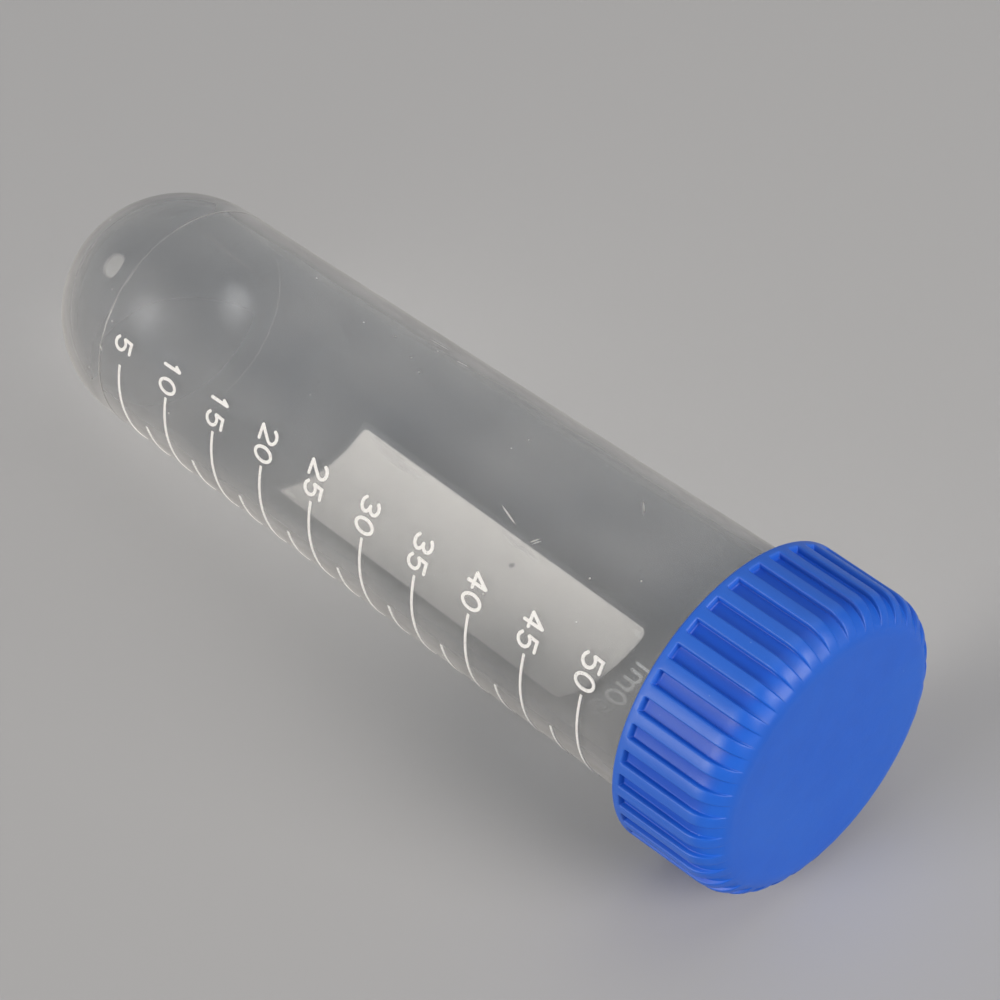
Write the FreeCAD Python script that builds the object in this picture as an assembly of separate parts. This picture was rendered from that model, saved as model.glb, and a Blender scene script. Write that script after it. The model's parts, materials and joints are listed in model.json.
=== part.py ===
import FreeCAD, Part

import math
import os

# A round-bottom tube with a screw cap, lying on its side as it comes to rest on a table.
#
# Every piece is drawn in the tube's own frame and laid down at the end.  In that frame the
# axis is X, x = 0 is the pole of the round bottom and the cap is towards +X.  Angles go round
# +X, from +Y towards +Z.  Lengths are in millimetres and angles in degrees.

Vector = FreeCAD.Vector
AXIS = Vector(1, 0, 0)
ORIGIN = Vector(0, 0, 0)
TOUCHING = 1e-6

# Tube: a round bottom, a body that widens slightly towards the mouth, and a threaded neck
DOME_R = 14.55
BODY_TOP_R = 15.17
WALL = 1.05
CORE_SHIFT = 0.20
CORE_SHIFT_DEG = 98.0
MOUTH_X = 113.4
LIP_ROUND = 0.35
BORE_CUT_BEYOND = 1.0
PARTING_X = 16.63
PARTING_WIDTH = 0.26
PARTING_HEIGHT = 0.05
GATE_R = 1.65
GATE_DEPTH = 0.40
GATE_STUB_R = 0.60
GATE_STUB_HEIGHT = 0.30

# Cap: a plain band at the rim, then grooves that run out over the rounded top edge
CAP_RIM_X = 103.0
CAP_LENGTH = 13.26
CAP_BAND_R = 18.09
CAP_TOP_R = 17.97
CAP_CORNER_R = 3.57
CAP_RIM_ROUND = 0.25
CAP_TOP_WALL = 1.60
CAP_BORE_R = 16.65
CAP_BORE_CHAMFER = 0.35
BAND_WIDTH = 0.95
GROOVE_COUNT = 36
GROOVE_FLOOR_R = 17.35
GROOVE_DEG = 5.2
GROOVE_PHASE_DEG = 4.5
GROOVE_RUNOUT_X = 112.7
GROOVE_RUNOUT_R = 4.10
GROOVE_CUT_BEYOND = 2.0
COLLAR_R = 13.30
COLLAR_WALL = 0.90
COLLAR_LENGTH = 3.60

# Thread: one start, right-handed; the two ridges bear on each other when the cap is tight
LEAD = 4.0
FLANK_DEG = 20.0
RIDGE_BASE = 1.90
ROOT_GAP = 0.30
FLANK_GAP = 0.32
NECK_RIDGE_X = 105.6
NECK_RIDGE_DEG = 180.0
NECK_TURNS = 1.5
CAP_RIDGE_X = 104.62
CAP_TURNS = 1.25
RIDGE_EMBED = 0.25
FUSE_TOLERANCE = 0.001

# Sealing ring: sits round the cap's collar, between the cap and the tube's lip
RING_INNER_R = 13.60
RING_OUTER_R = 16.30
RING_GAP = 0.05

# Where a full turn starts: on top, so that both halves meet the floor alike
SEAM_DEG = 90.0

# Print: one layer of ink on the outside of the body
INK = 0.08
INK_GAP = 0.02
MARK_STEP = 8.321
FIRST_MARK_X = 20.26
MARK_COUNT = 10
MARK_ML = 5
LONG_LINE_START_DEG = 163.0
LEAN_PER_MARK_DEG = -0.22
SHORT_LINE_START_DEG = 189.3
LINE_END_DEG = 215.5
LINE_WIDTH = 0.32
SCALE_SKEW_DEG = 1.4
NUMBER_DEG = 152.7
GLYPH_HEIGHT = 2.90
GLYPH_WIDTH = 2.02
GLYPH_ADVANCE = 2.34
STROKE = 0.38
GLYPH_REACH_DEG = 9.0
PANEL_X = 59.2
PANEL_DEG = -82.0
PANEL_LENGTH = 47.2
PANEL_WIDTH = 14.6
PANEL_CORNER_R = 0.9
PANEL_END_SLOPE = 0.062
PANEL_SIDE_SLOPE = 0.014
PANEL_REACH = 2.0
PANEL_REACH_DEG = 45.0
CAPACITY_X = 85.95
CAPACITY_SKEW_DEG = 2.5
CAPACITY_GLYPHS = (("5", -98.4), ("0", -88.9), ("m", -77.9), ("l", -69.2))

# Worked out from the above
CAP_TOP_X = CAP_RIM_X + CAP_LENGTH
CEILING_X = CAP_TOP_X - CAP_TOP_WALL
BODY_SLOPE = (BODY_TOP_R - DOME_R) / (CAP_RIM_X - DOME_R)
NECK_CREST_R = CAP_BORE_R - ROOT_GAP
CAP_CREST_R = BODY_TOP_R + ROOT_GAP


def body_r(x):
    """Outside radius of the body at x."""
    return DOME_R + BODY_SLOPE * (x - DOME_R)


def at(x, r):
    """Point of a turned outline: x along the axis, r out from it."""
    return Vector(x, r, 0)


def line(a, b):
    return Part.LineSegment(a, b).toShape()


def arc_about(centre, radius, start_deg, end_deg):
    """Arc in the outline's plane, with angles from +x towards +r."""
    def point(deg):
        turn = math.radians(deg)
        return centre + Vector(radius * math.cos(turn), radius * math.sin(turn), 0)
    middle = (start_deg + end_deg) / 2
    return Part.Arc(point(start_deg), point(middle), point(end_deg)).toShape()


def joined(*pieces):
    """Wire through arcs and points, with straight edges wherever two of them don't touch."""
    edges = []
    last = None
    for piece in pieces:
        is_arc = isinstance(piece, Part.Edge)
        first_point = piece.firstVertex(True).Point if is_arc else piece
        if last is not None and (first_point - last).Length > TOUCHING:
            edges.append(line(last, first_point))
        if is_arc:
            edges.append(piece)
            last = piece.lastVertex(True).Point
        else:
            last = piece
    opening = edges[0].firstVertex(True).Point
    if (opening - last).Length > TOUCHING:
        edges.append(line(last, opening))
    return Part.Wire(edges)


def turned(wire, start_deg=SEAM_DEG, sweep_deg=360.0):
    """Solid turned from an outline, over all or part of a turn."""
    solid = Part.Face(wire).revolve(ORIGIN, AXIS, sweep_deg)
    solid.rotate(ORIGIN, AXIS, start_deg)
    return solid


def thread_ridge(root_r, crest_r, start_x, start_deg, turns):
    """Helical ridge whose base is sunk a little into the wall that carries it."""
    outward = 1 if crest_r > root_r else -1
    base_r = root_r - outward * RIDGE_EMBED
    height = abs(crest_r - root_r)
    half_base = RIDGE_BASE / 2
    half_crest = half_base - height * math.tan(math.radians(FLANK_DEG))
    section = Part.makePolygon([
        Vector(base_r, 0, -half_base),
        Vector(root_r, 0, -half_base),
        Vector(crest_r, 0, -half_crest),
        Vector(crest_r, 0, half_crest),
        Vector(root_r, 0, half_base),
        Vector(base_r, 0, half_base),
        Vector(base_r, 0, -half_base),
    ])
    helix = Part.makeHelix(LEAD, LEAD * turns, root_r)
    ridge = Part.Wire(helix.Edges).makePipeShell([section], True, True)
    ridge.rotate(ORIGIN, Vector(0, 1, 0), 90)
    ridge.rotate(ORIGIN, AXIS, start_deg + 90)
    ridge.translate(Vector(start_x, 0, 0))
    return ridge


def bore():
    """Room inside the tube, a little off centre, as the mould's core stood."""
    inner_r = body_r(MOUTH_X) - WALL
    room = turned(joined(
        arc_about(at(DOME_R, 0), DOME_R - WALL, 180, 90),
        arc_about(at(MOUTH_X - LIP_ROUND, inner_r + LIP_ROUND), LIP_ROUND, -90, 0),
        at(MOUTH_X + BORE_CUT_BEYOND, inner_r + LIP_ROUND),
        at(MOUTH_X + BORE_CUT_BEYOND, 0),
    ))
    turn = math.radians(CORE_SHIFT_DEG)
    room.translate(Vector(0, math.cos(turn), math.sin(turn)) * CORE_SHIFT)
    return room


def make_tube():
    gate_edge_x = DOME_R - math.sqrt(DOME_R ** 2 - GATE_R ** 2)
    stub_x = GATE_DEPTH - GATE_STUB_HEIGHT
    half_parting = PARTING_WIDTH / 2
    dome_centre = at(DOME_R, 0)
    gate_edge_deg = 180 - math.degrees(math.asin(GATE_R / DOME_R))
    outline = joined(
        at(stub_x, 0),
        at(stub_x, GATE_STUB_R),
        at(GATE_DEPTH, GATE_STUB_R),
        at(GATE_DEPTH, GATE_R),
        at(gate_edge_x, GATE_R),
        arc_about(dome_centre, DOME_R, gate_edge_deg, 90),
        at(PARTING_X - half_parting, body_r(PARTING_X - half_parting)),
        at(PARTING_X, body_r(PARTING_X) + PARTING_HEIGHT),
        at(PARTING_X + half_parting, body_r(PARTING_X + half_parting)),
        at(CAP_RIM_X, BODY_TOP_R),
        arc_about(at(MOUTH_X - LIP_ROUND, BODY_TOP_R - LIP_ROUND), LIP_ROUND, 90, 0),
        at(MOUTH_X, 0),
    )
    ridge = thread_ridge(BODY_TOP_R, NECK_CREST_R, NECK_RIDGE_X, NECK_RIDGE_DEG, NECK_TURNS)
    return turned(outline).fuse(ridge, FUSE_TOLERANCE).Solids[0].cut(bore())


def groove_cutters():
    """Wedges that cut the cap's grooves, square at the band and running out over the corner."""
    start_x = CAP_RIM_X + BAND_WIDTH
    beyond_x = CAP_TOP_X + GROOVE_CUT_BEYOND
    beyond_r = CAP_BAND_R + GROOVE_CUT_BEYOND
    runout_centre = at(GROOVE_RUNOUT_X, GROOVE_FLOOR_R - GROOVE_RUNOUT_R)
    outline = joined(
        at(start_x, beyond_r),
        at(start_x, GROOVE_FLOOR_R),
        arc_about(runout_centre, GROOVE_RUNOUT_R, 90, 0),
        at(beyond_x, GROOVE_FLOOR_R - GROOVE_RUNOUT_R),
        at(beyond_x, beyond_r),
    )
    pitch = 360 / GROOVE_COUNT
    first = GROOVE_PHASE_DEG - GROOVE_DEG / 2
    return [turned(outline, first + pitch * k, GROOVE_DEG) for k in range(GROOVE_COUNT)]


def make_cap():
    corner_x = CAP_TOP_X - CAP_CORNER_R
    rim_round_centre = at(CAP_RIM_X + CAP_RIM_ROUND, CAP_BAND_R - CAP_RIM_ROUND)
    collar_inner_r = COLLAR_R - COLLAR_WALL
    collar_tip = at(CEILING_X - COLLAR_LENGTH, COLLAR_R - COLLAR_WALL / 2)
    outline = joined(
        at(CAP_TOP_X, 0),
        at(CEILING_X, 0),
        at(CEILING_X, collar_inner_r),
        arc_about(collar_tip, COLLAR_WALL / 2, 270, 90),
        at(CEILING_X, COLLAR_R),
        at(CEILING_X, CAP_BORE_R),
        at(CAP_RIM_X + CAP_BORE_CHAMFER, CAP_BORE_R),
        at(CAP_RIM_X, CAP_BORE_R + CAP_BORE_CHAMFER),
        arc_about(rim_round_centre, CAP_RIM_ROUND, 180, 90),
        arc_about(at(corner_x, CAP_TOP_R - CAP_CORNER_R), CAP_CORNER_R, 90, 0),
    )
    shell = turned(outline).cut(groove_cutters())
    flank_overlap = (CAP_BORE_R - BODY_TOP_R) * math.tan(math.radians(FLANK_DEG))
    ridge_offset = RIDGE_BASE - flank_overlap + FLANK_GAP
    neck_x_below = NECK_RIDGE_X - ridge_offset
    start_deg = NECK_RIDGE_DEG + 360 * (CAP_RIDGE_X - neck_x_below) / LEAD
    ridge = thread_ridge(CAP_BORE_R, CAP_CREST_R, CAP_RIDGE_X, start_deg % 360, CAP_TURNS)
    return shell.fuse(ridge, FUSE_TOLERANCE).Solids[0]


def make_sealing_ring():
    low_x = MOUTH_X + RING_GAP
    high_x = CEILING_X - RING_GAP
    return turned(joined(
        at(low_x, RING_INNER_R),
        at(low_x, RING_OUTER_R),
        at(high_x, RING_OUTER_R),
        at(high_x, RING_INNER_R),
    ))


def ink_layer(low_x, high_x, start_deg, sweep_deg):
    """Patch of the layer of ink: a skin of the body between two x and over part of a turn."""
    low_r = body_r(low_x) + INK_GAP
    high_r = body_r(high_x) + INK_GAP
    outline = joined(
        at(low_x, low_r),
        at(high_x, high_r),
        at(high_x, high_r + INK),
        at(low_x, low_r + INK),
    )
    return turned(outline, start_deg, sweep_deg)


def skewed(shape, x, deg, skew_deg):
    """Turn a print about the body's normal at (x, deg), positive lifting its far end."""
    turn = math.radians(deg)
    normal = Vector(0, math.cos(turn), math.sin(turn))
    shape.rotate(Vector(x, 0, 0), normal, skew_deg)
    return shape


def bow(cx, cy, rx, ry, start_deg, end_deg, steps=8):
    """Points along part of an ellipse, for the round stretches of a numeral."""
    points = []
    for k in range(steps + 1):
        turn = math.radians(start_deg + (end_deg - start_deg) * k / steps)
        points.append((cx + rx * math.cos(turn), cy + ry * math.sin(turn)))
    return points


# Centre lines of the printed characters, as fractions of the space inside the stroke:
# (0, 0) is the middle of a character, and -1 and 1 are its sides, its foot and its head.
GLYPHS = {
    "0": [bow(0, 0, 1, 1, 0, 360, 20)],
    "1": [[(-0.55, 0.45), (0.05, 1)], [(0.05, 1), (0.05, -1)]],
    "2": [bow(0, 0.45, 0.95, 0.55, 165, -40) + [(-0.95, -1)], [(-0.95, -1), (1, -1)]],
    "3": [bow(-0.05, 0.5, 0.9, 0.5, 150, -90), bow(-0.05, -0.5, 1.0, 0.5, 90, -150)],
    "4": [[(0.35, -1), (0.35, 1)], [(0.35, 1), (-1, -0.4)], [(-1, -0.4), (1, -0.4)]],
    "5": [[(0.85, 1), (-0.7, 1), (-0.82, 0.1)], bow(-0.02, -0.35, 0.98, 0.65, 140, -145, 10)],
    "m": [
        [(-1, -1), (-1, 0.35)],
        bow(-0.5, -0.1, 0.5, 0.45, 160, 0, 5) + [(0, -1)],
        bow(0.5, -0.1, 0.5, 0.45, 160, 0, 5) + [(1, -1)],
    ],
    "l": [[(0, 1), (0, -1)]],
}
GLYPH_WIDTHS = {"m": 2.9, "1": 1.6}


def beside(points, distance, closed):
    """Corners of a line that runs at one distance from a centre line, to its left if positive."""
    count = len(points)
    corners = []
    for k, point in enumerate(points):
        ways = []
        if closed or k > 0:
            ways.append((point - points[k - 1]).normalize())
        if closed or k < count - 1:
            ways.append((points[(k + 1) % count] - point).normalize())
        across = Vector(0, 0, 1).cross(ways[0] + ways[-1]).normalize()
        half_turn_cos = across.dot(Vector(0, 0, 1).cross(ways[0]))
        corners.append(point + across * (distance / half_turn_cos))
    return corners


def stroke_face(points):
    """Flat band of ink along a centre line, with round ends, or a ring where the line closes."""
    half = STROKE / 2
    path = [Vector(u, v, 0) for u, v in points]
    if (path[0] - path[-1]).Length < TOUCHING:
        hole, whole = (beside(path[:-1], side, True) for side in (half, -half))
        return Part.Face(joined(*whole)).cut(Part.Face(joined(*hole)))
    left = beside(path, half, False)
    right = beside(path, -half, False)
    head = path[-1] + (path[-1] - path[-2]).normalize() * half
    tail = path[0] + (path[0] - path[1]).normalize() * half
    far_end = Part.Arc(left[-1], head, right[-1]).toShape()
    near_end = Part.Arc(right[0], tail, left[0]).toShape()
    return Part.Face(joined(*left, far_end, *right[-2:0:-1], near_end))


def facing_body(solid, x, deg):
    """Stand a flat-drawn block, x across and y upright, over the body at (x, deg)."""
    turn = math.radians(deg)
    outward = Vector(0, math.cos(turn), math.sin(turn))
    around = Vector(0, -math.sin(turn), math.cos(turn))
    base = outward * (DOME_R / 2)
    solid.Placement = FreeCAD.Placement(FreeCAD.Matrix(
        around.x, AXIS.x, outward.x, x,
        around.y, AXIS.y, outward.y, base.y,
        around.z, AXIS.z, outward.z, base.z,
        0, 0, 0, 1,
    ))
    return solid


def printed_glyph(name, x, deg, skew_deg):
    """One printed character, upright when the mouth is up, centred at x and deg."""
    half_width = (GLYPH_WIDTHS.get(name, GLYPH_WIDTH) - STROKE) / 2
    half_height = (GLYPH_HEIGHT - STROKE) / 2
    bars = []
    for stroke in GLYPHS[name]:
        face = stroke_face([(u * half_width, v * half_height) for u, v in stroke])
        bars.append(face.extrude(Vector(0, 0, DOME_R)))
    block = bars[0].fuse(bars[1:]) if len(bars) > 1 else bars[0]
    layer = ink_layer(x - GLYPH_HEIGHT, x + GLYPH_HEIGHT, deg - GLYPH_REACH_DEG, 2 * GLYPH_REACH_DEG)
    return skewed(layer.common(facing_body(block, x, deg)), x, deg, skew_deg)


def mark_x(steps):
    """Place of a graduation, counted in long steps from the first."""
    return FIRST_MARK_X + MARK_STEP * steps


def make_scale_numbers():
    numbers = []
    for k in range(MARK_COUNT):
        text = str(MARK_ML * (k + 1))
        x = mark_x(k)
        middle_deg = NUMBER_DEG + LEAN_PER_MARK_DEG * k
        advance_deg = math.degrees(GLYPH_ADVANCE / body_r(x))
        for place, name in enumerate(text):
            deg = middle_deg + advance_deg * (place - (len(text) - 1) / 2)
            numbers.append(printed_glyph(name, x, deg, SCALE_SKEW_DEG))
    return Part.makeCompound(numbers)


def printed_line(x, start_deg, number_deg):
    """Graduation line that starts at start_deg and carries on the slope of its number."""
    sweep = LINE_END_DEG - start_deg
    rise = body_r(x) * math.radians(start_deg + sweep / 2 - number_deg)
    middle_x = x + rise * math.tan(math.radians(SCALE_SKEW_DEG))
    band = ink_layer(middle_x - LINE_WIDTH / 2, middle_x + LINE_WIDTH / 2, start_deg, sweep)
    return skewed(band, middle_x, start_deg + sweep / 2, SCALE_SKEW_DEG)


def make_scale_lines():
    lines = []
    for k in range(MARK_COUNT):
        lean = LEAN_PER_MARK_DEG * k
        number_deg = NUMBER_DEG + lean
        lines.append(printed_line(mark_x(k), LONG_LINE_START_DEG + lean, number_deg))
        if k < MARK_COUNT - 1:
            lines.append(printed_line(mark_x(k + 0.5), SHORT_LINE_START_DEG, number_deg))
    return Part.makeCompound(lines)


def make_writing_panel():
    """Blank panel to write on: a leaning rectangle of ink with rounded corners."""
    half_length = PANEL_LENGTH / 2
    half_width = PANEL_WIDTH / 2

    def corner(along, across):
        x = along * half_length + across * half_width * PANEL_END_SLOPE
        u = across * half_width - along * half_length * PANEL_SIDE_SLOPE
        return Vector(u, x, 0)

    inset = Part.makePolygon([
        corner(a, b) for a, b in ((-1, -1), (-1, 1), (1, 1), (1, -1), (-1, -1))
    ]).makeOffset2D(-PANEL_CORNER_R, 0, False, False)
    rounded = Part.Wire(inset.Edges).makeOffset2D(PANEL_CORNER_R, 0, False, False)
    block = Part.Face(Part.Wire(rounded.Edges)).extrude(Vector(0, 0, DOME_R))
    low_x = PANEL_X - half_length - PANEL_REACH
    high_x = PANEL_X + half_length + PANEL_REACH
    layer = ink_layer(low_x, high_x, PANEL_DEG - PANEL_REACH_DEG, 2 * PANEL_REACH_DEG)
    return layer.common(facing_body(block, PANEL_X, PANEL_DEG))


def make_capacity_mark():
    return Part.makeCompound([
        printed_glyph(name, CAPACITY_X, deg, CAPACITY_SKEW_DEG) for name, deg in CAPACITY_GLYPHS
    ])


def resting_tilt():
    """Tilt of the axis, in degrees, when the round bottom and the cap's rim both touch the table."""
    reach = CAP_RIM_X + CAP_RIM_ROUND - DOME_R
    drop = CAP_BAND_R - CAP_RIM_ROUND
    to_rim = math.atan2(drop, reach)
    return math.degrees(to_rim - math.asin((DOME_R - CAP_RIM_ROUND) / math.hypot(reach, drop)))


def laid_down(shape):
    """Tilt a piece about Y and move it, so that the object's box stands centred on the origin."""
    tilt = math.radians(resting_tilt())
    corner_x = CAP_TOP_X - CAP_CORNER_R
    corner_r = CAP_TOP_R - CAP_CORNER_R
    left = DOME_R * math.cos(tilt) - DOME_R
    right = corner_x * math.cos(tilt) + corner_r * math.sin(tilt) + CAP_CORNER_R
    lowest = DOME_R * math.sin(tilt) - DOME_R
    placed = shape.copy()
    placed.rotate(ORIGIN, Vector(0, 1, 0), -math.degrees(tilt))
    placed.translate(Vector(-(left + right) / 2, 0, -lowest))
    return placed


NODES = {
    "tube": make_tube,
    "cap": make_cap,
    "sealing_ring": make_sealing_ring,
    "scale_lines": make_scale_lines,
    "scale_numbers": make_scale_numbers,
    "writing_panel": make_writing_panel,
    "capacity_mark": make_capacity_mark,
}

os.makedirs("parts", exist_ok=True)
for node, make in NODES.items():
    piece = laid_down(make())
    piece.exportStep(f"parts/{node}.step")
    print(f"{node}: {len(piece.Solids)} solids, valid {piece.isValid()}, {piece.Volume:.1f} mm3")
print(f"the axis rises {resting_tilt():.3f} degrees towards the cap")
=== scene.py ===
import json
import math

import bmesh
import bpy
from mathutils import Matrix, Vector


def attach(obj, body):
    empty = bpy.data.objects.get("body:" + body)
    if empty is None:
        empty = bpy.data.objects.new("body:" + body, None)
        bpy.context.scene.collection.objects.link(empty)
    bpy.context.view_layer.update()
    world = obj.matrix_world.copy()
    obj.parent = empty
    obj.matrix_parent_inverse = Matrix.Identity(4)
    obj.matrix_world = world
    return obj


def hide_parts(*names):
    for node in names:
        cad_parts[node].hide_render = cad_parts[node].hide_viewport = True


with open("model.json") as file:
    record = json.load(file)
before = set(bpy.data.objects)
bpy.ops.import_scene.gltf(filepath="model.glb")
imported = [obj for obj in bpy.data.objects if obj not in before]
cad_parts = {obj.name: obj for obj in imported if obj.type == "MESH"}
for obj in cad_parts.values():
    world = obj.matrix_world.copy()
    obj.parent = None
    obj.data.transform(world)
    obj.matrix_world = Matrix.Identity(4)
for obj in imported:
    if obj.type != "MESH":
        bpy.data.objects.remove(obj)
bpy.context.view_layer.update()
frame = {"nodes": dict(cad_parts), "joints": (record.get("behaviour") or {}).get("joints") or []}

# Sizes in millimetres, in the tube's own frame: x runs along the axis from the pole
# of the round bottom to the cap, and angles turn round it from +y towards +z.
MM = 0.001

# The tube
DOME_R = 14.55
BODY_TOP_R = 15.17
WALL = 1.05
CORE_SHIFT = 0.20
CORE_SHIFT_DEG = 98.0
MOUTH_X = 113.4
LIP_ROUND = 0.35
PARTING_X = 16.63
PARTING_WIDTH = 0.26
PARTING_HEIGHT = 0.05
GATE_R = 1.65
GATE_DEPTH = 0.40
GATE_STUB_R = 0.60
GATE_STUB_HEIGHT = 0.30

# The cap
CAP_RIM_X = 103.0
CAP_LENGTH = 13.26
CAP_BAND_R = 18.09
CAP_TOP_R = 17.97
CAP_CORNER_R = 3.57
CAP_RIM_ROUND = 0.25
CAP_TOP_WALL = 1.60
CAP_BORE_R = 16.65
CAP_BORE_CHAMFER = 0.35
COLLAR_R = 13.30
COLLAR_WALL = 0.90
COLLAR_LENGTH = 3.60
BAND_WIDTH = 0.95
GROOVE_COUNT = 36
GROOVE_FLOOR_R = 17.35
GROOVE_DEG = 5.2
GROOVE_PHASE_DEG = 4.5
GROOVE_RUNOUT_X = 112.7
GROOVE_RUNOUT_R = 4.10

# The print: slopes say how far the panel's ends and sides run askew
PANEL_X = 59.2
PANEL_DEG = -82.0
PANEL_LENGTH = 47.2
PANEL_WIDTH = 14.6
PANEL_END_SLOPE = 0.062
PANEL_SIDE_SLOPE = 0.014
CAPACITY_X = 85.95
CAPACITY_DEG = -83.0

# The thread: one ridge outside the neck and one inside the cap
LEAD = 4.0
FLANK_DEG = 20.0
RIDGE_BASE = 1.90
ROOT_GAP = 0.30
FLANK_GAP = 0.32
NECK_RIDGE_X = 105.6
NECK_RIDGE_DEG = 180.0
NECK_TURNS = 1.5
CAP_RIDGE_X = 104.62
CAP_TURNS = 1.25
RIDGE_END_TURNS = 0.06

# Small roundings and slants that the solids leave sharp
GATE_ROUND = 0.08
EDGE_ROUND = 0.22
FLOOR_ROUND = 0.14
STEEP = 0.012
END_RAMP = 0.10

# Worked out from the above
CAP_TOP_X = CAP_RIM_X + CAP_LENGTH
CEILING_X = CAP_TOP_X - CAP_TOP_WALL
BODY_SLOPE = (BODY_TOP_R - DOME_R) / (CAP_RIM_X - DOME_R)
RIDGE_HEIGHT = CAP_BORE_R - BODY_TOP_R - ROOT_GAP
RIDGE_HALF_CREST = RIDGE_BASE / 2 - RIDGE_HEIGHT * math.tan(math.radians(FLANK_DEG))

# How finely the pieces are divided, in steps or millimetres
TUBE_COLUMNS = 240
DOME_STEPS = 44
ROUND_STEPS = 6
CORNER_STEPS = 14
TOP_RINGS = 5
PARTING_HALF_STEPS = 3
BODY_STEP = 2.5
THREAD_STEP = 0.22
RIB_STEP = 1.2
EDGE_TURNS_DEG = (10, 40, 65, 90)
FOOT_SHARES = (1.0, 0.96, 0.82)

# Points closer than this are one: millimetres, and metres in the last
POLE_WITHIN = 1e-6
JOIN_WITHIN = 0.002
SAME_POINT = 1e-7

# Edges between faces that meet at more than this stay sharp
SHARP_DEG = 60.0


def joint_named(name):
    """The joint of the model with this name."""
    return next(j for j in frame["joints"] if j["name"] == name)


# The tube's own frame, placed in the model's frame
lift_joint = joint_named("seal_lift")
turn_joint = joint_named("cap_turn")
AXIS = Vector(lift_joint["axis"]).normalized()
SIDE = Vector((0, 1, 0))
OVER = AXIS.cross(SIDE)
POLE = Vector(turn_joint["pos_m"]) - AXIS * CAP_TOP_X * MM
PLACE = Matrix((AXIS, SIDE, OVER)).transposed().to_4x4()
PLACE.translation = POLE


def body_r(x):
    """Outside radius of the body at x."""
    return DOME_R + BODY_SLOPE * (x - DOME_R)


class Signal:
    """Socket of a node tree that adds, multiplies and compares like a number."""

    def __init__(self, tree, socket=None):
        self.tree = tree
        self.socket = socket

    def node(self, kind, sockets=None, output=0, **settings):
        """Any node: its settings first, then the values or links of its sockets."""
        made = self.tree.nodes.new(kind)
        for name, value in settings.items():
            setattr(made, name, value)
        for name, value in (sockets or {}).items():
            if isinstance(value, Signal):
                self.tree.links.new(value.socket, made.inputs[name])
            else:
                made.inputs[name].default_value = value
        return Signal(self.tree, made.outputs[output])

    def maths(self, operation, *values, clamp=False):
        sockets = dict(enumerate((self,) + values))
        return self.node("ShaderNodeMath", sockets, operation=operation, use_clamp=clamp)

    def __add__(self, other):
        return self.maths("ADD", other)

    def __radd__(self, other):
        return self.maths("ADD", other)

    def __sub__(self, other):
        return self.maths("SUBTRACT", other)

    def __rsub__(self, other):
        return (self * -1.0).maths("ADD", other)

    def __mul__(self, other):
        return self.maths("MULTIPLY", other)

    def __rmul__(self, other):
        return self.maths("MULTIPLY", other)

    def __truediv__(self, other):
        return self.maths("DIVIDE", other)

    def __abs__(self):
        return self.maths("ABSOLUTE")

    def clamped(self):
        return self.maths("ADD", 0.0, clamp=True)

    def between(self, low, high):
        """Smooth step from 0 at low to 1 at high."""
        return self.node(
            "ShaderNodeMapRange",
            {"Value": self, "From Min": low, "From Max": high, "To Min": 0.0, "To Max": 1.0},
            interpolation_type="SMOOTHSTEP",
        )

    def parts(self):
        """The x, y and z of a vector."""
        split = self.node("ShaderNodeSeparateXYZ", {"Vector": self})
        return [Signal(self.tree, output) for output in split.socket.node.outputs]


# ---------------------------------------------------------------- turned pieces

def arc(centre_x, centre_r, radius, start_deg, end_deg, steps):
    """Points (x, r) along an arc, with angles from +x towards +r."""
    points = []
    for k in range(steps + 1):
        turn = math.radians(start_deg + (end_deg - start_deg) * k / steps)
        points.append((centre_x + radius * math.cos(turn), centre_r + radius * math.sin(turn)))
    return points


def along(x0, x1, step, radius_at):
    """Points (x, r) on a run of the wall, step apart or a little less."""
    count = max(1, math.ceil(abs(x1 - x0) / step))
    xs = [x0 + (x1 - x0) * k / count for k in range(count + 1)]
    return [(x, radius_at(x)) for x in xs]


def mesh_from(name, points, faces, marks):
    """Mesh whose attribute "threaded" says where a thread may rise."""
    mesh = bpy.data.meshes.new(name)
    mesh.from_pydata(points, [], faces)
    mesh.update()
    mesh.attributes.new("threaded", "FLOAT", "POINT").data.foreach_set("value", marks)
    return mesh


def on_turn(x, r, deg):
    """Point in metres at x, at a radius and an angle."""
    turn = math.radians(deg)
    return Vector((x, r * math.cos(turn), r * math.sin(turn))) * MM


def lathe(name, rows, columns):
    """Closed surface turned from rows (x, r, aside, threaded); a row at r = 0 is one pole."""
    points = []
    rings = []
    marks = []
    for x, r, aside, threaded in rows:
        count = columns if r > POLE_WITHIN else 1
        rings.append([len(points) + k for k in range(count)])
        points += [on_turn(x, r, 360 * k / columns) + aside for k in range(count)]
        marks += [threaded] * count
    faces = []
    for a, b in zip(rings, rings[1:]):
        for k in range(columns):
            n = (k + 1) % columns
            quad = [a[k % len(a)], a[n % len(a)], b[n % len(b)], b[k % len(b)]]
            faces.append(list(dict.fromkeys(quad)))
    return mesh_from(name, points, faces, marks)


def face_outwards(mesh):
    """Turn every face the same way, outwards."""
    work = bmesh.new()
    work.from_mesh(mesh)
    bmesh.ops.remove_doubles(work, verts=work.verts, dist=SAME_POINT)
    bmesh.ops.recalc_face_normals(work, faces=work.faces)
    if work.calc_volume(signed=True) < 0:
        bmesh.ops.reverse_faces(work, faces=work.faces)
    work.to_mesh(mesh)
    work.free()


def piece(name, mesh, body, replaced):
    """Finished object with its place in its mesh, riding on its body."""
    mesh.transform(PLACE)
    mesh.shade_smooth()
    mesh.set_sharp_from_angle(angle=math.radians(SHARP_DEG))
    obj = bpy.data.objects.new(name, mesh)
    bpy.context.scene.collection.objects.link(obj)
    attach(obj, body)
    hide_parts(replaced)
    return obj


# ---------------------------------------------------------------- geometry trees

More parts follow.
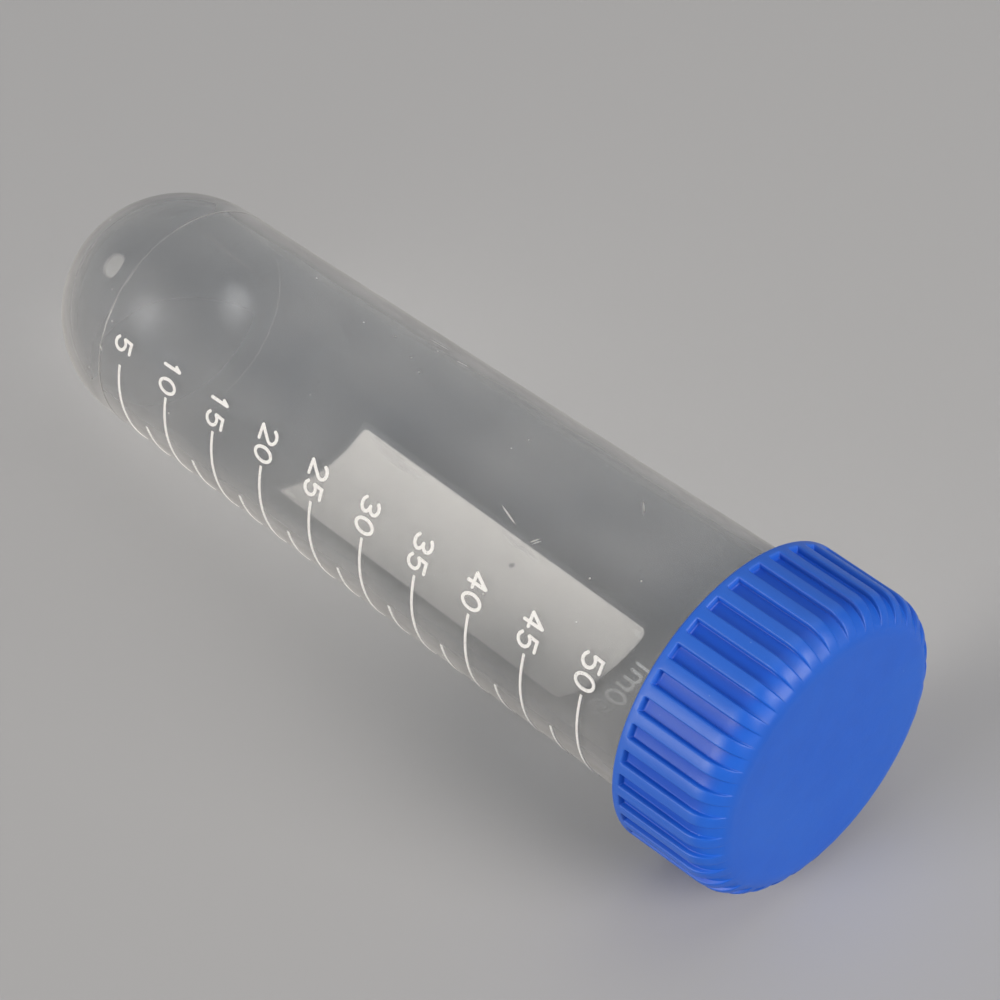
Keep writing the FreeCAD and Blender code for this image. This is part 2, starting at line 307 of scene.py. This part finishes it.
def tree_inputs(tree, inputs):
    tree.interface.new_socket("Geometry", in_out="INPUT", socket_type="NodeSocketGeometry")
    for name, kind in inputs:
        tree.interface.new_socket(name, in_out="INPUT", socket_type=kind)
    tree.interface.new_socket("Geometry", in_out="OUTPUT", socket_type="NodeSocketGeometry")
    entry = tree.nodes.new("NodeGroupInput")
    names = ["Geometry"] + [name for name, _ in inputs]
    return {name: Signal(tree, entry.outputs[name]) for name in names}


def ends_in(tree, geometry, material):
    """Every tree ends in Realize Instances and Set Material."""
    real = geometry.node("GeometryNodeRealizeInstances", {"Geometry": geometry})
    made = real.node("GeometryNodeSetMaterial", {"Geometry": real, "Material": material})
    way_out = tree.nodes.new("NodeGroupOutput")
    tree.links.new(made.socket, way_out.inputs["Geometry"])


def repeat_round_axis():
    """Tree that sets one pitch of a ring round the x axis, as often as it takes."""
    tree = bpy.data.node_groups.new("pitch repeated round the axis", "GeometryNodeTree")
    given = tree_inputs(tree, [
        ("Pitches", "NodeSocketInt"),
        ("Join Within", "NodeSocketFloat"),
        ("Material", "NodeSocketMaterial"),
    ])
    start = Signal(tree)
    places = start.node(
        "GeometryNodeMeshLine",
        {"Count": given["Pitches"], "Offset": (0.0, 0.0, 0.0)},
    )
    place = start.node("GeometryNodeInputIndex")
    turn = place * (2 * math.pi) / given["Pitches"]
    about_x = start.node("ShaderNodeCombineXYZ", {"X": turn})
    ring = start.node("GeometryNodeInstanceOnPoints", {
        "Points": places,
        "Instance": given["Geometry"],
        "Rotation": start.node("FunctionNodeEulerToRotation", {"Euler": about_x}),
    })
    whole = start.node("GeometryNodeRealizeInstances", {"Geometry": ring})
    joined = start.node("GeometryNodeMergeByDistance", {
        "Geometry": whole,
        "Distance": given["Join Within"],
    })
    ends_in(tree, joined, given["Material"])
    return tree


def raise_thread():
    """Tree that raises a helical ridge on the wall marked by the attribute "threaded"."""
    tree = bpy.data.node_groups.new("helical ridge", "GeometryNodeTree")
    given = tree_inputs(tree, [
        ("Lead", "NodeSocketFloat"),
        ("Start Along", "NodeSocketFloat"),
        ("Start Turn", "NodeSocketFloat"),
        ("Turns", "NodeSocketFloat"),
        ("End Fade", "NodeSocketFloat"),
        ("Height", "NodeSocketFloat"),
        ("Half Base", "NodeSocketFloat"),
        ("Half Crest", "NodeSocketFloat"),
        ("Material", "NodeSocketMaterial"),
    ])
    start = Signal(tree)
    x, y, z = start.node("GeometryNodeInputPosition").parts()
    turn = z.maths("ARCTAN2", y) / (2 * math.pi)
    phase = (x - given["Start Along"]) / given["Lead"] - (turn - given["Start Turn"])
    whole = phase.maths("ROUND")
    aside = (phase - whole) * given["Lead"]
    progress = (x - aside - given["Start Along"]) / given["Lead"]
    flank = (given["Half Base"] - abs(aside)) / (given["Half Base"] - given["Half Crest"])
    begins = (progress / given["End Fade"]).clamped()
    ends = ((given["Turns"] - progress) / given["End Fade"]).clamped()
    marked = start.node("GeometryNodeInputNamedAttribute", {"Name": "threaded"}, data_type="FLOAT")
    height = flank.clamped() * begins * ends * marked * given["Height"]
    outwards = start.node("ShaderNodeCombineXYZ", {"Y": y, "Z": z})
    unit = start.node("ShaderNodeVectorMath", {0: outwards}, operation="NORMALIZE")
    offset = start.node("ShaderNodeVectorMath", {0: unit, "Scale": height}, operation="SCALE")
    raised = start.node("GeometryNodeSetPosition", {
        "Geometry": given["Geometry"],
        "Offset": offset,
    })
    ends_in(tree, raised, given["Material"])
    return tree


def grown(name, mesh, tree, values):
    """Mesh that a geometry tree makes from this one, as a plain mesh."""
    host = bpy.data.objects.new(name, mesh)
    bpy.context.scene.collection.objects.link(host)
    modifier = host.modifiers.new("tree", "NODES")
    modifier.node_group = tree
    for socket in tree.interface.items_tree:
        if socket.in_out == "INPUT" and socket.name in values:
            modifier[socket.identifier] = values[socket.name]
    seen = host.evaluated_get(bpy.context.evaluated_depsgraph_get())
    made = bpy.data.meshes.new_from_object(seen)
    bpy.data.objects.remove(host)
    made.name = name
    return made


# ---------------------------------------------------------------- the tube

def parting_rows():
    """Fine raised ring left by the mould where the dome begins."""
    steps = PARTING_HALF_STEPS
    rows = []
    for k in range(-steps, steps + 1):
        x = PARTING_X + k / steps * PARTING_WIDTH / 2
        swell = math.cos(k / steps * math.pi / 2) ** 2
        rows.append((x, body_r(x) + PARTING_HEIGHT * swell))
    return rows


def marked(rows, aside=Vector((0, 0, 0)), threaded=0.0):
    """Rows with how far they stand off the axis and whether a thread may rise on them."""
    return [(x, r, aside, threaded) for x, r in rows]


def tube_wall():
    """The whole moulding: gate, dome, body, neck marked where its thread rises, lip and bore."""
    gate_edge_deg = 180 - math.degrees(math.asin(GATE_R / DOME_R))
    gate_edge_x = DOME_R - math.sqrt(DOME_R ** 2 - GATE_R ** 2)
    stub_x = GATE_DEPTH - GATE_STUB_HEIGHT
    mouth_inner_r = body_r(MOUTH_X) - WALL
    lip_x = MOUTH_X - LIP_ROUND
    body = (
        [(stub_x, 0), (stub_x, GATE_STUB_R - GATE_ROUND), (stub_x + GATE_ROUND, GATE_STUB_R)]
        + [(GATE_DEPTH, GATE_STUB_R + GATE_ROUND), (GATE_DEPTH, GATE_R - GATE_ROUND)]
        + [(GATE_DEPTH - GATE_ROUND, GATE_R), (gate_edge_x, GATE_R)]
        + arc(DOME_R, 0, DOME_R, gate_edge_deg, 90, DOME_STEPS)[1:]
        + parting_rows()
        + along(PARTING_X + PARTING_WIDTH, CAP_RIM_X, BODY_STEP, body_r)[:-1]
    )
    neck = along(CAP_RIM_X, lip_x, THREAD_STEP, lambda x: BODY_TOP_R)
    lip = arc(lip_x, BODY_TOP_R - LIP_ROUND, LIP_ROUND, 90, 0, ROUND_STEPS)[1:]
    bore = (
        arc(lip_x, mouth_inner_r + LIP_ROUND, LIP_ROUND, 0, -90, ROUND_STEPS)
        + along(lip_x, DOME_R, BODY_STEP, lambda x: body_r(x) - WALL)[1:]
        + arc(DOME_R, 0, DOME_R - WALL, 90, 180, DOME_STEPS)[1:]
    )
    off_centre = on_turn(0, CORE_SHIFT, CORE_SHIFT_DEG)
    rows = marked(body) + marked(neck, threaded=1.0) + marked(lip) + marked(bore, off_centre)
    return lathe("tube_wall", rows, TUBE_COLUMNS)


# ---------------------------------------------------------------- the cap

def rib_r(x):
    """Radius over the ribs, which lean in a little from the band to the corner."""
    low_x = CAP_RIM_X + CAP_RIM_ROUND
    high_x = CAP_TOP_X - CAP_CORNER_R
    return CAP_BAND_R + (CAP_TOP_R - CAP_BAND_R) * (x - low_x) / (high_x - low_x)


def corner_rows():
    """Rounded top edge from the flat top outwards, with how deep the groove still is."""
    centre_x = CAP_TOP_X - CAP_CORNER_R
    centre_r = CAP_TOP_R - CAP_CORNER_R
    away = (centre_x - GROOVE_RUNOUT_X, centre_r - (GROOVE_FLOOR_R - GROOVE_RUNOUT_R))
    rows = []
    for k in range(CORNER_STEPS + 1):
        turn = math.radians(90 * k / CORNER_STEPS)
        normal = (math.cos(turn), math.sin(turn))
        reach = away[0] * normal[0] + away[1] * normal[1]
        gap = reach ** 2 - away[0] ** 2 - away[1] ** 2 + GROOVE_RUNOUT_R ** 2
        floor = math.sqrt(gap) - reach
        point = (centre_x + CAP_CORNER_R * normal[0], centre_r + CAP_CORNER_R * normal[1])
        rows.append((point, normal, max(0.0, CAP_CORNER_R - floor)))
    return rows


def groove_side(depth, ramp=0.0):
    """Points (away, inset) from the floor up a wall and round its edge; the wall ends at 0."""
    low = (FLOOR_ROUND + ramp, FLOOR_ROUND / 3 + ramp, ramp)
    points = [(-back, depth * share) for back, share in zip(low, FOOT_SHARES)]
    for turn in map(math.radians, EDGE_TURNS_DEG):
        away = EDGE_ROUND * (1 - math.cos(turn)) + STEEP
        points.append((away, EDGE_ROUND * (1 - math.sin(turn))))
    return points


def cap_outside():
    """Rows ((x, r), normal, depth of groove) from the middle of the flat top to the rim."""
    flat_r = CAP_TOP_R - CAP_CORNER_R
    top = [((CAP_TOP_X, flat_r * k / TOP_RINGS), (1, 0), 0.0) for k in range(TOP_RINGS)]
    groove_x = CAP_RIM_X + BAND_WIDTH
    ramp_x = groove_x + END_RAMP + 2 * FLOOR_ROUND
    ribs = along(CAP_TOP_X - CAP_CORNER_R, ramp_x, RIB_STEP, rib_r)[1:]
    rows = top + corner_rows()
    rows += [((x, r), (0, 1), r - GROOVE_FLOOR_R) for x, r in ribs]
    for away, inset in groove_side(rib_r(groove_x) - GROOVE_FLOOR_R, END_RAMP):
        x = groove_x - away
        rows.append(((x, rib_r(x)), (0, 1), inset))
    round_x = CAP_RIM_X + CAP_RIM_ROUND
    round_r = CAP_BAND_R - CAP_RIM_ROUND
    rim = arc(round_x, round_r, CAP_RIM_ROUND, 90, 180, ROUND_STEPS)
    return rows + [(point, (0, 1), 0.0) for point in rim]


def cap_inside():
    """Rows (x, r, threaded) from the rim's chamfer up the bore and over the collar."""
    collar_inner_r = COLLAR_R - COLLAR_WALL
    collar_tip_x = CEILING_X - COLLAR_LENGTH
    bore = along(CAP_RIM_X + CAP_BORE_CHAMFER, CEILING_X, THREAD_STEP, lambda x: CAP_BORE_R)
    tip = arc(collar_tip_x, COLLAR_R - COLLAR_WALL / 2, COLLAR_WALL / 2, 90, 270, ROUND_STEPS)
    rows = [(CAP_RIM_X, CAP_BORE_R + CAP_BORE_CHAMFER, 0.0)]
    rows += [(x, r, 1.0) for x, r in bore]
    rows += [(CEILING_X, COLLAR_R, 0.0)]
    rows += [(x, r, 0.0) for x, r in tip]
    rows += [(CEILING_X, collar_inner_r, 0.0), (CEILING_X, collar_inner_r / 2, 0.0)]
    return rows + [(CEILING_X, 0.0, 0.0)]


def pitch_columns():
    """Angles across one pitch with how deep the groove is there, from 0 to 1."""
    half = GROOVE_DEG / 2
    pitch = 360 / GROOVE_COUNT
    depth = CAP_TOP_R - GROOVE_FLOOR_R
    right = [(0.0, 1.0)]
    for away, inset in groove_side(depth):
        right.append((half + math.degrees(away / CAP_TOP_R), inset / depth))
    left = [(-deg, share) for deg, share in reversed(right[1:])]
    edge = [(-pitch / 2, 0.0)]
    closing = [(pitch / 2, 0.0)]
    return [(GROOVE_PHASE_DEG + deg, share) for deg, share in edge + left + right + closing]


def cap_pitch():
    """One pitch of the cap, rib and groove, from the middle of the top to the ceiling."""
    columns = pitch_columns()
    points = []
    marks = []
    for (x, r), (along_x, along_r), depth in cap_outside():
        for deg, share in columns:
            inset = depth * share
            points.append(on_turn(x - inset * along_x, r - inset * along_r, deg))
            marks.append(0.0)
    for x, r, threaded in cap_inside():
        points += [on_turn(x, r, deg) for deg, _ in columns]
        marks += [threaded] * len(columns)
    wide = len(columns)
    faces = []
    for row in range(len(points) // wide - 1):
        for k in range(wide - 1):
            a = row * wide + k
            faces.append([a, a + 1, a + 1 + wide, a + wide])
    return mesh_from("cap_pitch", points, faces, marks)


# ---------------------------------------------------------------- finishes

class Finish:
    """A material under way: its places on the tube in millimetres, and its shader."""

    def __init__(self, name):
        self.material = bpy.data.materials.new(name)
        self.material.use_nodes = True
        self.tree = self.material.node_tree
        self.tree.nodes.clear()
        self.start = Signal(self.tree)
        inverse = PLACE.inverted()
        self.places = self.start.node("ShaderNodeMapping", {
            "Vector": self.start.node("ShaderNodeTexCoord", output="Object"),
            "Location": inverse.translation / MM,
            "Rotation": inverse.to_euler(),
            "Scale": (1 / MM, 1 / MM, 1 / MM),
        })
        self.x, self.y, self.z = self.places.parts()
        self.out = (self.y * self.y + self.z * self.z).maths("SQRT")
        self.around = self.z.maths("ARCTAN2", self.y) * BODY_TOP_R
        self.unrolled = self.start.node("ShaderNodeCombineXYZ", {"X": self.x, "Y": self.around})

    def stretched(self, scale):
        """The places, scaled along each way."""
        return self.start.node("ShaderNodeMapping", {"Vector": self.places, "Scale": scale})

    def noise(self, scale, detail=3.0, roughness=0.5, places=None):
        """Smooth random level, scale times per millimetre."""
        return self.start.node("ShaderNodeTexNoise", {
            "Vector": places or self.places, "Scale": scale, "Detail": detail,
            "Roughness": roughness,
        }, output="Fac")

    def blend(self, share, low, high):
        """Colour between two, by a share from 0 to 1."""
        made = self.tree.nodes.new("ShaderNodeMix")
        made.data_type = "RGBA"
        for name, value in (("Factor", share), ("A", low), ("B", high)):
            socket = [s for s in made.inputs if s.name == name and s.enabled][0]
            if isinstance(value, Signal):
                self.tree.links.new(value.socket, socket)
            else:
                socket.default_value = value
        colour = [s for s in made.outputs if s.enabled][0]
        return Signal(self.tree, colour)

    def scratch(self, x, deg, length, lean_deg, width):
        """One thin mark centred at x and deg, leaning from the axis towards growing angles."""
        laid = self.start.node("ShaderNodeMapping", {
            "Vector": self.unrolled,
            "Location": (x, math.radians(deg) * BODY_TOP_R, 0.0),
            "Rotation": (0.0, 0.0, math.radians(lean_deg)),
            "Scale": (length / 2, width, 1.0),
        }, vector_type="TEXTURE")
        return self.start.node(
            "ShaderNodeTexGradient", {"Vector": laid}, output="Fac", gradient_type="SPHERICAL",
        )

    def specks(self, scale, size, kept):
        """Small marks scattered over the surface where they are kept."""
        near = self.start.node("ShaderNodeTexVoronoi", {
            "Vector": self.places, "Scale": scale, "Randomness": 1.0,
        }, output="Distance")
        return (1.0 - near.between(size * 0.5, size)) * kept

    def bumped(self, height):
        """Surface direction over a height in millimetres."""
        return self.start.node("ShaderNodeBump", {
            "Height": height, "Strength": 1.0, "Distance": MM,
        }, output="Normal")

    def plastic(self, sockets):
        return self.start.node("ShaderNodeBsdfPrincipled", sockets, output="BSDF")

    def mixed(self, share, first, second):
        return self.start.node("ShaderNodeMixShader", {0: share, 1: first, 2: second})

    def done(self, surface):
        out = self.tree.nodes.new("ShaderNodeOutputMaterial")
        self.tree.links.new(surface.socket, out.inputs["Surface"])
        return self.material


def rgb(red, green, blue):
    """Colour written as it looks on a screen, 0 to 255."""
    def linear(level):
        share = level / 255
        return share / 12.92 if share <= 0.04045 else ((share + 0.055) / 1.055) ** 2.4
    return (linear(red), linear(green), linear(blue), 1.0)


# Marks on the tube: x, degrees round it, length, lean from the axis in degrees, width
SCRATCHES = (
    (77.3, 117.0, 3.6, 18.0, 0.13),
    (81.9, 119.7, 1.4, -50.0, 0.12),
    (52.1, 59.9, 3.2, -6.0, 0.12),
    (56.7, 63.9, 1.9, -13.0, 0.12),
    (87.8, 79.6, 2.4, 44.0, 0.12),
    (16.7, 161.3, 1.2, 50.0, 0.12),
)
FLOW_LINE = (25.2, 88.5, 24.0, 4.0, 0.22)


def behind_panel(f):
    """Where the wall carries the writing panel, from 0 to 1; the wall is painted clearer there, a
    painted brightening of the print seen through it.
    """
    turn = math.radians(PANEL_DEG)
    ahead = f.x - PANEL_X
    aside = f.z * math.cos(turn) - f.y * math.sin(turn)
    lengthways = abs(ahead - aside * PANEL_END_SLOPE) - PANEL_LENGTH / 2
    sideways = abs(aside + ahead * PANEL_SIDE_SLOPE) - PANEL_WIDTH / 2
    outside = lengthways.maths("MAXIMUM", sideways).maths("MAXIMUM", f.z)
    return 1.0 - outside.between(-0.3, 0.3)


def inside_wall(f):
    """1 on the inner surface of the wall and 0 on the outer one."""
    ahead = (f.x - DOME_R).maths("MINIMUM", 0.0)
    reach = (ahead * ahead + f.out * f.out).maths("SQRT")
    return 1.0 - reach.between(DOME_R - 0.7 * WALL, DOME_R - 0.3 * WALL)


def gate_marks(f, cloud):
    """Stress-whitened disc at the pole, unevenly white, and the ring at its edge."""
    pole = 1.0 - f.x.between(1.15, 1.35)
    disc = pole * (1.0 - f.out.between(1.40, 1.70)) * (0.5 + cloud * 0.6)
    ring = pole * (1.0 - abs(f.out - GATE_R).between(0.05, 0.16))
    return disc, ring


def cloudy_polypropylene():
    """Natural polypropylene: clear enough to read through, hazier the longer the way through."""
    f = Finish("cloudy polypropylene")
    flow = f.noise(1.0, 1.0, places=f.stretched((0.012, 0.16, 0.16)))
    cloud = f.noise(0.09, 1.0)
    specks = f.specks(0.34, 0.055, cloud.between(0.50, 0.56))
    inner = inside_wall(f)
    outer = 1.0 - inner
    worn = [f.scratch(*mark) for mark in SCRATCHES]
    cuts = (sum(worn[1:], worn[0]) * 2.5).clamped() * outer
    flow_line = f.scratch(*FLOW_LINE) * outer
    below = 1.0 - f.z.between(-8.0, -2.0)
    frosted = inner * below * (0.25 - f.x.between(13.8, 16.0) * 0.22)
    gate_mark, gate_ring = gate_marks(f, cloud)
    parting = 1.0 - abs(f.x - PARTING_X).between(0.04, 0.13)
    parting_line = parting * outer * (0.3 + f.y.between(-2.0, 1.0) * 0.6)
    # Painted light: behind the writing panel and the round capacity mark the wall is painted
    # nearly clear, so the print seen through it looks brighter than the lamps light it.
    round_mark_brightening = f.scratch(CAPACITY_X, CAPACITY_DEG, 30.0, 0.0, 13.0) * 1.6
    painted_print_brightening = behind_panel(f).maths("MAXIMUM", round_mark_brightening.clamped() * 0.8)
    tint = f.blend(flow, rgb(182, 187, 193), rgb(194, 198, 203))
    clear = f.plastic({
        # painted brightening behind the print
        "Base Color": f.blend(painted_print_brightening, tint, rgb(248, 248, 247)),
        "Roughness": 0.03 + flow * 0.02 + frosted + (cuts + specks) * 0.3,
        "IOR": 1.42,
        "Transmission Weight": 1.0,
    })
    milk = f.plastic({
        "Base Color": f.blend(cloud, rgb(194, 193, 190), rgb(218, 217, 214)),
        "Roughness": 0.34,
        "IOR": 1.49,
    })
    edge = f.start.node("ShaderNodeLayerWeight", {"Blend": 0.5}, output="Facing")
    veil = cloud * 0.10 + edge * 0.22 + edge.between(0.50, 1.0) * 0.35
    veil = veil + cuts * 0.38 + flow_line * 0.15 + specks * 0.45
    veil = veil + gate_mark + gate_ring * 0.3 + parting_line * 0.45
    wall = f.mixed(veil.clamped(), clear, milk)
    lamps = f.start.node("ShaderNodeLightPath", output="Is Shadow Ray")
    let_through = f.start.node("ShaderNodeBsdfTransparent", {"Color": rgb(254, 254, 254)})
    return f.done(f.mixed(lamps, wall, let_through))


def blue_polypropylene():
    """Satin blue cap moulding: the ribs and the band painted paler as painted light, the groove
    floors painted darker as painted shade.
    """
    f = Finish("blue polypropylene")
    mottle = f.noise(0.35, 4.0, 0.6)
    patch = f.noise(0.09, 1.0)
    grain = f.noise(7.0, 3.0)
    # Painted light: the ribs and the band, which stand furthest out, are painted paler than the
    # groove floors.
    painted_rib_light = f.out.between(17.55, 17.95) * (1.0 - f.x.between(CAP_TOP_X - 2.0, CAP_TOP_X))
    # Painted shade: the groove floors, and the inside of the cap, which lie lower than the ribs,
    # are painted darker.
    low = (1.0 - f.out.between(17.30, 17.75)) * (1.0 - f.x.between(113.0, 115.0))
    colour = f.blend(mottle, rgb(6, 86, 196), rgb(16, 95, 208))
    colour = f.blend(patch.between(0.4, 0.7) * 0.3, colour, rgb(28, 101, 206))
    # painted highlight on the ribs and the band
    colour = f.blend(painted_rib_light * 0.35, colour, rgb(62, 112, 210))
    # painted shade in the groove floors
    colour = f.blend(low * 0.55, colour, rgb(8, 69, 186))
    nicks = f.specks(0.5, 0.05, patch.between(0.56, 0.62))
    return f.done(f.plastic({
        "Base Color": f.blend(nicks * 0.5, colour, rgb(120, 160, 225)),
        "Roughness": 0.38 + grain * 0.10 + nicks * 0.1,
        "IOR": 1.49,
        "Normal": f.bumped(grain * 0.012 + mottle * 0.03),
    }))


# Where the panel's ink has come off, given as the marks on the tube are
PANEL_GAPS = ((64.0, -65.3, 0.9, 30.0, 0.35),)


def white_ink(name, thin, pinholes=0.5, warm=0, rubbed_deg=None, gaps=()):
    """Screen-printed white ink, thin in places and nearly gone below an angle."""
    f = Finish(name)
    body = f.noise(1.1, 3.0, 0.6)
    pins = f.noise(5.5, 1.0)
    cover = 1.0 - thin * body.between(0.45, 0.75) - pins.between(0.66, 0.74) * pinholes
    if rubbed_deg is not None:
        edge = math.radians(rubbed_deg) * BODY_TOP_R
        cover = cover - 0.7 * (1.0 - f.around.between(edge - 0.8, edge + 0.6))
    for gap in gaps:
        cover = cover - (f.scratch(*gap) * 2.0).clamped()
    return f.done(f.plastic({
        "Base Color": f.blend(
            body, rgb(238, 238 - warm, 237 - 2 * warm), rgb(252, 252 - warm, 250 - 2 * warm),
        ),
        "Roughness": 0.55 + pins * 0.15,
        "IOR": 1.48,
        "Alpha": cover.clamped(),
        "Normal": f.bumped(pins * 0.01 + body * 0.01),
    }))


def foam_liner():
    """Pale liner under the cap."""
    f = Finish("pale liner")
    cells = f.noise(4.0, 4.0, 0.65)
    return f.done(f.plastic({
        "Base Color": f.blend(cells, rgb(214, 214, 210), rgb(234, 234, 231)),
        "Roughness": 0.6 + cells * 0.2,
        "Normal": f.bumped(cells * 0.03),
    }))


def pale_table():
    """Plain matt floor."""
    f = Finish("pale table")
    return f.done(f.plastic({"Base Color": rgb(180, 181, 182), "Roughness": 0.85}))


# ---------------------------------------------------------------- pieces in place

def thread_values(start_x, start_deg, turns, height):
    """Inputs of the thread's tree; a height below 0 stands inwards."""
    return {
        "Lead": LEAD * MM,
        "Start Along": start_x * MM,
        "Start Turn": start_deg / 360,
        "Turns": turns,
        "End Fade": RIDGE_END_TURNS,
        "Height": height * MM,
        "Half Base": RIDGE_BASE / 2 * MM,
        "Half Crest": RIDGE_HALF_CREST * MM,
    }


ring_tree = repeat_round_axis()
thread_tree = raise_thread()

cloudy = cloudy_polypropylene()
values = thread_values(NECK_RIDGE_X, NECK_RIDGE_DEG, NECK_TURNS, RIDGE_HEIGHT)
wall_mesh = grown("tube_wall", tube_wall(), thread_tree, {**values, "Material": cloudy})
face_outwards(wall_mesh)
piece("tube_wall", wall_mesh, "tube", "tube")

blue = blue_polypropylene()
flank_overlap = (CAP_BORE_R - BODY_TOP_R) * math.tan(math.radians(FLANK_DEG))
neck_x_below = NECK_RIDGE_X - (RIDGE_BASE - flank_overlap + FLANK_GAP)
cap_ridge_deg = NECK_RIDGE_DEG + 360 * (CAP_RIDGE_X - neck_x_below) / LEAD
ring_mesh = grown("cap_ring", cap_pitch(), ring_tree, {
    "Pitches": GROOVE_COUNT, "Join Within": JOIN_WITHIN * MM, "Material": blue,
})
values = thread_values(CAP_RIDGE_X, cap_ridge_deg % 360, CAP_TURNS, -RIDGE_HEIGHT)
cap_mesh = grown("cap_shell", ring_mesh, thread_tree, {**values, "Material": blue})
face_outwards(cap_mesh)
piece("cap_shell", cap_mesh, "cap", "cap")

carried = {
    "sealing_ring": foam_liner(),
    "scale_lines": white_ink("scale ink", 0.10),
    "scale_numbers": white_ink("number ink", 0.10),
    "writing_panel": white_ink("panel ink", 0.06, 0.2, warm=3, gaps=PANEL_GAPS),
    "capacity_mark": white_ink("worn ink", 0.0, 0.1, rubbed_deg=-94.0),
}
for node_name, finish in carried.items():
    node = frame["nodes"][node_name]
    node.data.materials.clear()
    node.data.materials.append(finish)


# ---------------------------------------------------------------- floor, light, camera

FLOOR_HALF_M = 3.0
LAMPS_AWAY_M = 1.6
TO_RIGHT_LAMP = Vector((0.863, 0.119, 0.491))
TO_LEFT_LAMP = Vector((-0.142, -0.952, 0.270))
CAMERA_FROM_POLE = Vector((228.09, -157.58, 235.39))
CAMERA_AZIMUTH_DEG = 45.34
CAMERA_DOWN_DEG = 45.43
SENSOR_MM = 36.0
LENS_MM = 105.29


def floor():
    """Plain square floor under the object."""
    half = FLOOR_HALF_M
    corners = [(-half, -half, 0), (half, -half, 0), (half, half, 0), (-half, half, 0)]
    mesh = bpy.data.meshes.new("floor")
    mesh.from_pydata(corners, [], [(0, 1, 2, 3)])
    mesh.materials.append(pale_table())
    obj = bpy.data.objects.new("floor", mesh)
    bpy.context.scene.collection.objects.link(obj)


def softbox(name, place, size, watts, aim, warmth=0.0, spread_deg=180):
    """Lamp of two sides at a place, facing what it lights."""
    lamp = bpy.data.lights.new(name, "AREA")
    lamp.shape = "RECTANGLE"
    lamp.size, lamp.size_y = size
    lamp.energy = watts
    lamp.color = (1.0, 1.0 - 0.5 * warmth, 1.0 - warmth)
    lamp.spread = math.radians(spread_deg)
    obj = bpy.data.objects.new(name, lamp)
    obj.location = place
    obj.rotation_euler = (Vector(aim) - Vector(place)).to_track_quat("-Z", "Y").to_euler()
    bpy.context.scene.collection.objects.link(obj)


def pale_room():
    """Even light from all round, and a pale wall where the camera or a reflection sees it."""
    world = bpy.data.worlds.new("pale room")
    world.use_nodes = True
    tree = world.node_tree
    tree.nodes.clear()
    start = Signal(tree)
    path = tree.nodes.new("ShaderNodeLightPath")
    seen = Signal(tree, path.outputs["Is Camera Ray"])
    seen = seen.maths("MAXIMUM", Signal(tree, path.outputs["Is Transmission Ray"]))
    seen = seen.maths("MAXIMUM", Signal(tree, path.outputs["Is Glossy Ray"]))
    fill = start.node("ShaderNodeBackground", {"Color": rgb(232, 239, 250), "Strength": 0.21})
    wall = start.node("ShaderNodeBackground", {"Color": rgb(178, 179, 180), "Strength": 1.0})
    both = start.node("ShaderNodeMixShader", {0: seen, 1: fill, 2: wall})
    out = tree.nodes.new("ShaderNodeOutputWorld")
    tree.links.new(both.socket, out.inputs["Surface"])
    bpy.context.scene.world = world


def camera():
    """Looks down across the tube from the cap's side, from about 36 cm."""
    azimuth = math.radians(CAMERA_AZIMUTH_DEG)
    down = math.radians(CAMERA_DOWN_DEG)
    forward = Vector((
        -math.sin(azimuth) * math.cos(down),
        math.cos(azimuth) * math.cos(down),
        -math.sin(down),
    ))
    data = bpy.data.cameras.new("camera")
    data.sensor_width = SENSOR_MM
    data.lens = LENS_MM
    data.clip_start, data.clip_end = 0.01, 20.0
    obj = bpy.data.objects.new("camera", data)
    obj.location = POLE + CAMERA_FROM_POLE * MM
    obj.rotation_euler = forward.to_track_quat("-Z", "Y").to_euler()
    bpy.context.scene.collection.objects.link(obj)
    bpy.context.scene.camera = obj


floor()
middle = POLE + AXIS * CAP_TOP_X / 2 * MM
right_place = POLE + TO_RIGHT_LAMP * LAMPS_AWAY_M
left_place = POLE + TO_LEFT_LAMP * LAMPS_AWAY_M
softbox("overhead", middle + Vector((0.06, 0.20, 0.64)), (0.50, 0.40), 0.5, middle)
softbox("right of the camera", right_place, (1.0, 1.2), 3.7, middle, 0.14, 60)
softbox("left of the camera", left_place, (0.8, 1.2), 3.1, middle, 0.14, 60)
pale_room()
camera()

bpy.context.scene.view_settings.view_transform = "Standard"
